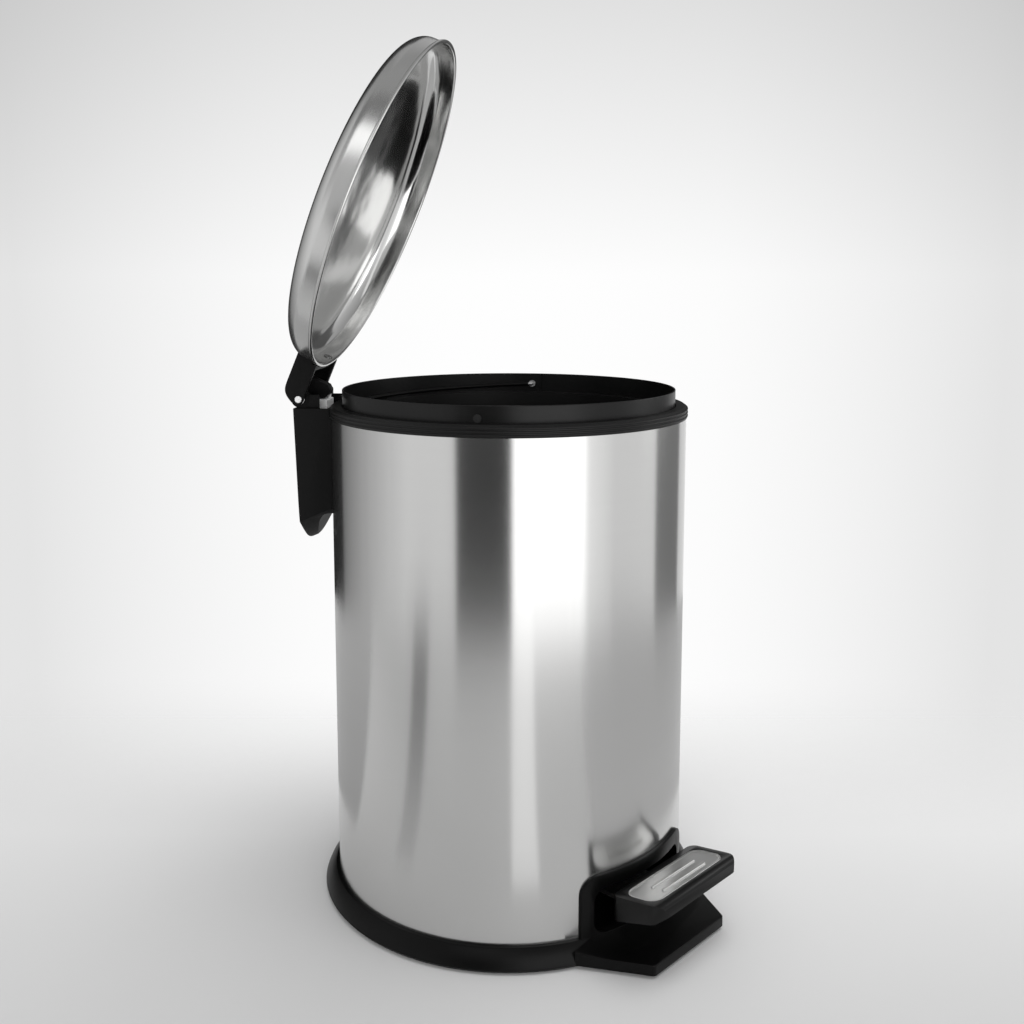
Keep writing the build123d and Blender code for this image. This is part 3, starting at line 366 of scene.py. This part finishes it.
def dome_side(radius, crown, corner):
    """Points (radius, height) down one face of the lid, from the crown to the foot of the shoulder."""
    sphere = (radius**2 + LID_RISE**2) / (2 * LID_RISE)
    middle = crown - sphere
    corner_x = radius - corner
    corner_z = middle + math.sqrt((sphere - corner) ** 2 - corner_x**2)
    lean = math.atan2(corner_x, corner_z - middle)
    dome = [(sphere * math.sin(a), middle + sphere * math.cos(a)) for a in spread(0, lean, 20)]
    bend = [(corner_x + corner * math.sin(a), corner_z + corner * math.cos(a))
            for a in spread(lean, math.pi / 2, 13)]
    return dome + bend[1:]


def trace(name, points):
    """Start a piece as a line of edges through points (x, z)."""
    bpy.ops.object.select_all(action="DESELECT")
    bpy.ops.mesh.primitive_plane_add(size=0.001, location=(points[0][0], 0, points[0][1]))
    piece = bpy.context.active_object
    piece.name = name
    bpy.ops.object.transform_apply(location=True)
    bpy.ops.object.mode_set(mode="EDIT")
    bpy.ops.mesh.select_mode(type="VERT")
    bpy.ops.mesh.select_all(action="SELECT")
    bpy.ops.mesh.merge(type="CENTER")
    for (x, z), (next_x, next_z) in zip(points, points[1:]):
        bpy.ops.mesh.extrude_region_move(TRANSFORM_OT_translate={"value": (next_x - x, 0, next_z - z)})
    return piece


def satin_steel(name, shade, roughness, ripple):
    """Drawn sheet steel: faint rubbing, and slow ripples that break up what it mirrors."""
    material, shader, wire = new_finish(name, Metallic=1.0)
    place = wire.node("TexCoord", out=3)
    rub = wire.node("TexNoise", None, {"Vector": place, "Scale": 60.0, "Detail": 3.0})
    wave = wire.node("TexNoise", None, {"Vector": place, "Scale": 14.0, "Detail": 2.0})
    colour = wire.node("Mix", {"data_type": "RGBA"}, {
        0: rub, 6: (shade, shade, shade * 0.99, 1), 7: (shade * 0.95, shade * 0.95, shade * 0.94, 1)}, out=2)
    bump = wire.node("Bump", None, {"Strength": 1.0, "Distance": ripple, "Height": wave})
    feed(shader, Base_Color=colour, Roughness=roughness - 0.02 + rub * 0.04, Normal=bump)
    return material


lid_satin = satin_steel("lid_satin", 0.62, 0.24, 0.0002)
lid_polish = satin_steel("lid_polish", 0.66, 0.13, 0.0016)
inner_face = dome_side(LID_R - LID_SHEET, LID_TOP - LID_SHEET, LID_CORNER - LID_SHEET)
outer_face = dome_side(LID_R, LID_TOP, LID_CORNER)
meet = math.acos((LID_R - HEM_MIDDLE[0]) / HEM_R)
hem = []  # from the inner face round the rolled edge, and back to the outer face
for angle in spread(math.pi, 2 * math.pi + meet, 22):
    reach = HEM_R if math.cos(angle) > 0 or angle > 2 * math.pi else HEM_MIDDLE[0] - LID_R + LID_SHEET
    hem.append((HEM_MIDDLE[0] + reach * math.cos(angle), HEM_MIDDLE[1] + HEM_R * math.sin(angle)))
lid = trace("lid_pressing", inner_face + hem + outer_face[::-1])
bpy.ops.mesh.select_all(action="SELECT")
bpy.ops.mesh.spin(steps=240, angle=2 * math.pi, center=(0, 0, 0), axis=(0, 0, 1))
bpy.ops.mesh.select_all(action="SELECT")
bpy.ops.mesh.remove_doubles(threshold=0.000002)
bpy.ops.mesh.normals_make_consistent(inside=False)
bpy.ops.object.mode_set(mode="OBJECT")
lid_heart = Vector((0, 0, LID_RIM))
inside = [face.index for face in lid.data.polygons if face.normal.dot(lid_heart - face.center) > 0]
put(lid, lid_place, "lid", "lid_steel", lid_satin, "lid_shell")
lid.data.materials.append(lid_polish)
for index in inside:
    lid.data.polygons[index].material_index = 1

# Two steel screws with low pan heads and cross recesses sit inside the lid's skirt. They hold the lid to
# its bracket, a black moulding that carries the hinge's cheeks and the cam.
SCREW_HEAD_R = 0.003
SCREW_HEAD = 0.0006
SCREW_SHANK_R = 0.0016
SCREW_SHANK = 0.0075
SCREW_RISE = 0.0019
SCREW_TURN = 9.5
SCREW_SINK = 0.0001
RECESS = (0.0034, 0.0008, 0.0007)
RECESS_TURN = 0.4


def pan_head(name):
    """A pan-head screw at the origin, its head up, its shank down."""
    bpy.ops.object.select_all(action="DESELECT")
    bpy.ops.mesh.primitive_cylinder_add(
        vertices=40, radius=SCREW_HEAD_R, depth=SCREW_HEAD, location=(0, 0, SCREW_HEAD / 2))
    piece = bpy.context.active_object
    piece.name = name
    bpy.ops.object.transform_apply(location=True)
    pick_faces(piece, lambda face: face.normal.z < -LEVEL)
    bpy.ops.mesh.inset(thickness=SCREW_HEAD_R - SCREW_SHANK_R)
    bpy.ops.mesh.extrude_region_move(TRANSFORM_OT_translate={"value": (0, 0, -SCREW_SHANK)})
    pick_faces(piece, lambda face: face.normal.z > LEVEL and face.center.z > SCREW_HEAD / 2)
    bpy.ops.mesh.bevel(offset=SCREW_HEAD * 0.7, segments=4, affect="EDGES")
    bpy.ops.object.mode_set(mode="OBJECT")
    for turn in (RECESS_TURN, RECESS_TURN + math.pi / 2):
        bpy.ops.mesh.primitive_cube_add(
            size=1, scale=RECESS, location=(0, 0, SCREW_HEAD), rotation=(0, 0, turn))
        bit = bpy.context.active_object
        cut = piece.modifiers.new("recess", "BOOLEAN")
        cut.object = bit
        bpy.context.view_layer.objects.active = piece
        bpy.ops.object.modifier_apply(modifier=cut.name)
        bpy.data.objects.remove(bit)
    return piece


# The screws' steel is painted dark: a painted shade that stands for the ring of shadow round each pan head.
screw_shaded_steel = bright_steel("screw_shaded_steel", 0.30, 0.26, 900.0)
out_bearing = math.atan2(pin.y, pin.x)
for side in (1, -1):
    screw = pan_head("lid_screw_left" if side > 0 else "lid_screw_right")
    turn = out_bearing + math.radians(side * SCREW_TURN)
    outward = Vector((math.cos(turn), math.sin(turn), 0))
    seat = Vector((0, 0, pin.z + SCREW_RISE)) + outward * (LID_R - LID_SHEET - SCREW_SINK)
    head_up = (-outward).to_track_quat("Z", "Y").to_matrix().to_4x4()
    put(screw, lid_place @ Matrix.Translation(seat) @ head_up, "lid", "pin_steel", screw_shaded_steel, "lid_screws")
rounded_copy("lid_bracket", "bracket_moulding", hinge_black, 0.0008)

# The push rod is a bent bright wire in two black guides on the shell's inner wall. Its cap and foot are
# white nylon mouldings pressed on to its ends, and the hinge's washers are nylon too.
nylon, nylon_shader, wire = new_finish("white_nylon", Specular_IOR_Level=0.4)
grey = wire.node("TexNoise", None, {"Vector": wire.node("TexCoord", out=3), "Scale": 240.0, "Detail": 4.0})
white = wire.node("ValToRGB", {"stops": [(0.35, 0.97), (0.8, 0.90)]}, {"Fac": grey})
feed(nylon_shader, Base_Color=white, Roughness=0.38 + grey * 0.12)
dress(nylon, "rod_cap", "rod_foot", "hinge_washers")
dress(hinge_black, "rod_guides")
dress(pin_steel, "push_rod")

# The pedal is a plated steel lever that rocks on a bright axle with a clip at each end.
# A black moulded tread is screwed to the lever's front.
plated = bright_steel("plated_steel", 0.50, 0.38, 160.0)
dress(plated, "pedal_lever", "tread_screws")
dress(pin_steel, "pedal_axle", "axle_clips")
tread_black = black_moulding("tread_black", 0.003, 0.30, 0.25, 1100.0)
rounded_copy("pedal_tread", "tread_moulding", tread_black, 0.0018)

# The tread plate is a polished pressing let into the tread: a rolled rim round a sunk field, and two
# half-round ribs that stop a shoe from slipping.
PLATE_LENGTH = 0.080
PLATE_DEPTH = 0.026
PLATE_CORNER = 0.0085
PLATE_THICK = 0.0012
PLATE_TOP = 0.00025
PLATE_FROM_BACK = 0.0184
RIM_WIDTH = 0.0014
RIM_SLOPE = 0.0006
RIM_ROUND = 0.0005
FIELD_DEPTH = 0.0005
RIB_LENGTH = 0.048
RIB_WIDTH = 0.0026
RIB_TOP = 0.0012
RIB_ROOT = 0.0008
RIB_ROUND = 0.0010
RIB_FLAT = 0.00002
RIB_GAP = 0.0086
RIB_FORWARD = 0.0024
tread_back = Vector((0, -0.1315, 0.0474))
tread_front = Vector((0, -0.1684, 0.0529))
plate = slab("tread_pressing", (PLATE_LENGTH, PLATE_DEPTH, PLATE_THICK),
             (0, 0, PLATE_TOP - PLATE_THICK / 2), PLATE_CORNER)
pick_faces(plate, lambda face: face.normal.z > LEVEL)
bpy.ops.mesh.inset(thickness=RIM_WIDTH)
bpy.ops.mesh.inset(thickness=RIM_SLOPE, depth=-FIELD_DEPTH)
pick_faces(plate, lambda face: face.normal.z > LEVEL and face.center.z > PLATE_TOP - FIELD_DEPTH / 2)
bpy.ops.mesh.bevel(offset=RIM_ROUND, segments=3, affect="EDGES")
bpy.ops.object.mode_set(mode="OBJECT")
ribs = []
for side in (1, -1):
    rib = slab("tread_rib", (RIB_LENGTH, RIB_WIDTH, RIB_TOP + RIB_ROOT),
               (0, side * RIB_GAP / 2 - RIB_FORWARD, RIB_TOP / 2 - RIB_ROOT / 2), RIB_WIDTH / 2 - RIB_FLAT)
    pick_faces(rib, lambda face: face.normal.z > LEVEL)
    bpy.ops.mesh.bevel(offset=RIB_ROUND, segments=5, affect="EDGES")
    bpy.ops.object.mode_set(mode="OBJECT")
    ribs.append(rib)
bpy.ops.object.select_all(action="DESELECT")
for rib in ribs:
    rib.select_set(True)
plate.select_set(True)
bpy.context.view_layer.objects.active = plate
bpy.ops.object.join()
across = Vector((1, 0, 0))
backwards = (tread_back - tread_front).normalized()
plate_place = Matrix((across, backwards, across.cross(backwards))).transposed().to_4x4()
plate_place.translation = tread_back - backwards * PLATE_FROM_BACK
plate_steel = bright_steel("plate_steel", 0.66, 0.30, 120.0)
put(plate, plate_place, "pedal", "plate_steel", plate_steel, "tread_plate")

# The studio is a pale floor that fades into a pale room, under one wide soft lamp and a weak one in front.
# Cards stand round the bin to shape what its surfaces mirror; they light nothing else.
VIEW_BEARING = math.radians(47.0)
view_right = Vector((math.cos(VIEW_BEARING), -math.sin(VIEW_BEARING), 0))
view_ahead = Vector((math.sin(VIEW_BEARING), math.cos(VIEW_BEARING), 0))
FLOOR_R = 1.2
bpy.ops.mesh.primitive_circle_add(vertices=96, radius=FLOOR_R, fill_type="NGON")
floor = bpy.context.active_object
floor.name = "studio_floor"
floor_paper, floor_shader, wire = new_finish("floor_paper", Roughness=0.9, Specular_IOR_Level=0.05)
place = wire.node("TexCoord", out=3)
distance = wire.node("VectorMath", {"operation": "LENGTH"}, {0: place}, out=1)
depth = wire.node("VectorMath", {"operation": "DOT_PRODUCT"}, {0: place, 1: view_ahead}, out=1)
mottle = wire.node("TexNoise", None, {"Vector": place, "Scale": 5.0, "Detail": 3.0})
# Painted shade: the paper's colour darkens towards the camera, from 0.84 behind the bin to 0.61 in front of
# it.
front_shade_tone = wire.node("MapRange", None, {
    "Value": depth, "From Min": -0.25, "From Max": 0.05, "To Min": 0.61, "To Max": 0.84})
feed(floor_shader, Base_Color=front_shade_tone + mottle * 0.03)
around = wire.node("MapRange", {"interpolation_type": "SMOOTHSTEP"}, {
    "Value": distance, "From Min": 0.75, "From Max": 1.0})
behind = wire.node("MapRange", {"interpolation_type": "SMOOTHSTEP"}, {
    "Value": depth, "From Min": 0.05, "From Max": 0.42})
fade = wire.math("MAXIMUM", around, behind)
clear = wire.node("BsdfTransparent")
paper = Wire(floor_paper.node_tree, floor_shader.outputs[0])
blend = wire.node("MixShader", None, {0: fade, 1: paper, 2: clear})
floor_tree = floor_paper.node_tree
floor_tree.links.new(blend.socket, floor_tree.nodes["Material Output"].inputs["Surface"])
floor.data.materials.append(floor_paper)

CARD_DISTANCE = 0.79


def card(name, start, stop, first, last, foot, rise, run):
    """A curved card round the bin between two bearings, which go to the right from the camera.

    It glows from first to last. Its foot is at a height, and it stands upright by its rise, or lies on the
    floor by its run.
    """
    turn = math.radians(start)
    towards = view_right * math.sin(turn) - view_ahead * math.cos(turn)
    bpy.ops.object.select_all(action="DESELECT")
    bpy.ops.mesh.primitive_plane_add(size=0.01, location=towards * CARD_DISTANCE + Vector((0, 0, foot)))
    screen = bpy.context.active_object
    screen.name = name
    bpy.ops.object.transform_apply(location=True)
    bpy.ops.object.mode_set(mode="EDIT")
    bpy.ops.mesh.select_mode(type="VERT")
    bpy.ops.mesh.select_all(action="SELECT")
    bpy.ops.mesh.merge(type="CENTER")
    bpy.ops.mesh.extrude_region_move(TRANSFORM_OT_translate={"value": towards * run + Vector((0, 0, rise))})
    bpy.ops.mesh.select_all(action="SELECT")
    bpy.ops.mesh.spin(steps=24, angle=math.radians(stop - start), center=(0, 0, 0), axis=(0, 0, -1))
    bpy.ops.object.mode_set(mode="OBJECT")
    screen.visible_camera = False
    screen.visible_diffuse = False
    screen.visible_shadow = False
    material = bpy.data.materials.new(name)
    material.use_nodes = True
    tree = material.node_tree
    wire = Wire(tree)
    place = wire.node("TexCoord", out=3)
    if rise:
        across = wire.node("VectorMath", {"operation": "DOT_PRODUCT"}, {0: place, 1: view_right}, out=1)
        nearer = wire.node("VectorMath", {"operation": "DOT_PRODUCT"}, {0: place, 1: -view_ahead}, out=1)
        along, begin, end = wire.math("ARCTAN2", across, nearer), math.radians(start), math.radians(stop)
    else:
        along = wire.node("VectorMath", {"operation": "LENGTH"}, {0: place}, out=1)
        begin, end = CARD_DISTANCE + run, CARD_DISTANCE
    glow = wire.node("MapRange", None, {
        "Value": along, "From Min": begin, "From Max": end, "To Min": first, "To Max": last})
    streak = wire.node("TexNoise", {"noise_dimensions": "1D"}, {"W": along, "Scale": 22.0, "Detail": 3.0})
    light = wire.node("Emission", None, {"Color": glow * (0.86 + streak * 0.28), "Strength": 1.0})
    tree.links.new(light.socket, tree.nodes["Material Output"].inputs["Surface"])
    screen.data.materials.append(material)


CARD_HEIGHT = 1.5
FLOOR_RUN = -0.57
# Each card: its name, the bearings and the glow at its two ends, the height of its foot, its rise, its run
card("dark_card", -30.0, 2.0, 0.05, 0.01, 0.001, 0.42, 0)
card("lid_grey", -34.0, 1.2, 0.60, 0.60, 0.43, 0.45, 0)
card("lid_glow", -34.0, 1.2, 1.7, 1.9, 0.89, 0.42, 0)
card("dark_top", -70.0, 45.0, 0.22, 0.22, 1.32, 1.1, 0)
card("white_card", 2.0, 45.0, 1.9, 1.9, 0.001, 0.60, 0)
card("white_edge", 45.0, 62.0, 1.15, 0.95, 0.001, CARD_HEIGHT, 0)
card("right_flag", 99.0, 132.0, 0.22, 0.2, 0.001, 0.32, 0)
card("tread_glow", 86.0, 110.0, 2.6, 2.6, 0.33, 0.24, 0)
card("back_flag", 132.0, 178.0, 0.12, 0.08, 0.30, 0.7, 0)
card("left_flag", -178.0, -124.0, 0.01, 0.02, 0.001, CARD_HEIGHT, 0)
card("left_shade", -124.0, -62.0, 0.20, 0.86, 0.001, CARD_HEIGHT, 0)
card("floor_gleam", 1.5, 14.0, 0.95, 1.15, 0.002, 0, FLOOR_RUN)
card("floor_streak", -57.0, -47.0, 0.50, 0.04, 0.002, 0, FLOOR_RUN)
card("floor_left", -178.0, -90.0, 0.40, 0.56, 0.001, 0, FLOOR_RUN)
card("floor_right", 42.0, 178.0, 0.55, 0.50, 0.001, 0, FLOOR_RUN)


LAMP_AIM = Vector((0, 0, 0.15))


def lamp(name, bearing, height, distance, size, power):
    """A soft square lamp that points at the middle of the bin."""
    turn = math.radians(bearing)
    towards = view_right * math.sin(turn) - view_ahead * math.cos(turn)
    data = bpy.data.lights.new(name, "AREA")
    data.size = size
    data.energy = power
    light = bpy.data.objects.new(name, data)
    bpy.context.scene.collection.objects.link(light)
    light.location = towards * distance + Vector((0, 0, height))
    aim = LAMP_AIM - light.location
    light.rotation_mode = "QUATERNION"
    light.rotation_quaternion = aim.to_track_quat("-Z", "Y")
    light.visible_glossy = False


lamp("key_lamp", 95.0, 2.5, 0.5, 1.8, 30.0)
lamp("fill_lamp", -8.0, 0.6, 1.5, 0.8, 6.0)

world = bpy.data.worlds.new("studio_air")
bpy.context.scene.world = world
world.use_nodes = True
air = Wire(world.node_tree)
heading = air.node("TexCoord", out=0)
rise = air.node("SeparateXYZ", None, {0: heading}, out=2)
haze = air.node("ValToRGB", {"stops": [(0.0, 0.885), (0.30, 0.60), (0.85, 0.40)]}, {"Fac": rise})
ahead = air.node("VectorMath", {"operation": "DOT_PRODUCT"}, {0: heading, 1: view_ahead}, out=1)
facing = air.math("DIVIDE", ahead, air.math("SQRT", 1.0 - rise * rise))
spot = air.node("ValToRGB", {"stops": [
    (0.5, 0.50), (0.85, 0.44), (0.918, 0.438), (0.985, 0.55), (1.0, 0.56)]}, {"Fac": facing})
backdrop = haze * spot * 2.0
world.node_tree.links.new(backdrop.socket, world.node_tree.nodes["Background"].inputs["Color"])

# The camera stands where the photograph was taken from, a little above the rim, looking slightly down.
# Its distance, height and lens were fitted to the bin's outline, and its picture is shifted, not tilted more.
CAMERA_DISTANCE = 0.8070
CAMERA_HEIGHT = 0.4397
CAMERA_ASIDE = 0.00226
CAMERA_PITCH = 0.126
FOCAL_PIXELS = 1141.4
PICTURE_PIXELS = 1024
CENTRE_ROW = 420.0
camera_data = bpy.data.cameras.new("photo_camera")
camera_data.sensor_width = 36.0
camera_data.lens = FOCAL_PIXELS / PICTURE_PIXELS * camera_data.sensor_width
camera_data.shift_y = (CENTRE_ROW - PICTURE_PIXELS / 2) / PICTURE_PIXELS
camera_data.clip_start = 0.01
camera = bpy.data.objects.new("photo_camera", camera_data)
bpy.context.scene.collection.objects.link(camera)
camera.location = view_right * CAMERA_ASIDE - view_ahead * CAMERA_DISTANCE + Vector((0, 0, CAMERA_HEIGHT))
look = view_ahead * math.cos(CAMERA_PITCH) - Vector((0, 0, math.sin(CAMERA_PITCH)))
camera.rotation_mode = "QUATERNION"
camera.rotation_quaternion = look.to_track_quat("-Z", "Y")
bpy.context.scene.camera = camera
bpy.context.scene.view_settings.view_transform = "Standard"
